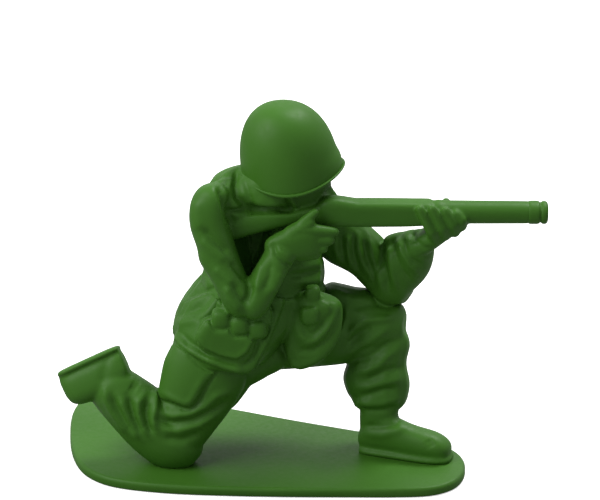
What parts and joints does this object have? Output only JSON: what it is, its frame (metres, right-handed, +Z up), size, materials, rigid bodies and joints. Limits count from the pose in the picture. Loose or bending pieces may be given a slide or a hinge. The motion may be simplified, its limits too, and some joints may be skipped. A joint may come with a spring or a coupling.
{
  "type": "toy soldier figure",
  "caption": "Kneeling toy soldier in green moulded plastic, aiming a rifle, fixed on an irregular flat base plate.",
  "frame": {"origin": "underside of the base plate, under the middle of the figure", "axes": "+X the way the figure aims, +Y its left side, +Z up"},
  "size_m": [0.0519, 0.0247, 0.0403],
  "materials": {
    "green_polyethylene": "moulded soft polyethylene with a satin skin"
  },
  "bodies": {
    "root": {"base_plate": "green_polyethylene", "right_thigh": "green_polyethylene", "right_cargo_pocket": "green_polyethylene", "right_shin": "green_polyethylene", "right_boot": "green_polyethylene", "right_boot_sole": "green_polyethylene", "left_thigh": "green_polyethylene", "left_shin": "green_polyethylene", "left_boot": "green_polyethylene", "left_boot_sole": "green_polyethylene", "jacket_body": "green_polyethylene", "jacket_skirt": "green_polyethylene", "front_skirt_flap": "green_polyethylene", "skirt_pocket": "green_polyethylene", "waist_belt": "green_polyethylene", "side_pouches": "green_polyethylene", "front_pouches": "green_polyethylene", "collar": "green_polyethylene", "head": "green_polyethylene", "helmet": "green_polyethylene", "helmet_rim": "green_polyethylene", "right_upper_sleeve": "green_polyethylene", "right_lower_sleeve": "green_polyethylene", "right_hand": "green_polyethylene", "left_upper_sleeve": "green_polyethylene", "left_lower_sleeve": "green_polyethylene", "left_hand": "green_polyethylene", "rifle_stock": "green_polyethylene", "rifle_receiver": "green_polyethylene", "rifle_fore_end": "green_polyethylene", "rifle_barrel": "green_polyethylene", "muzzle_cap": "green_polyethylene"}
  },
  "joints": []
}
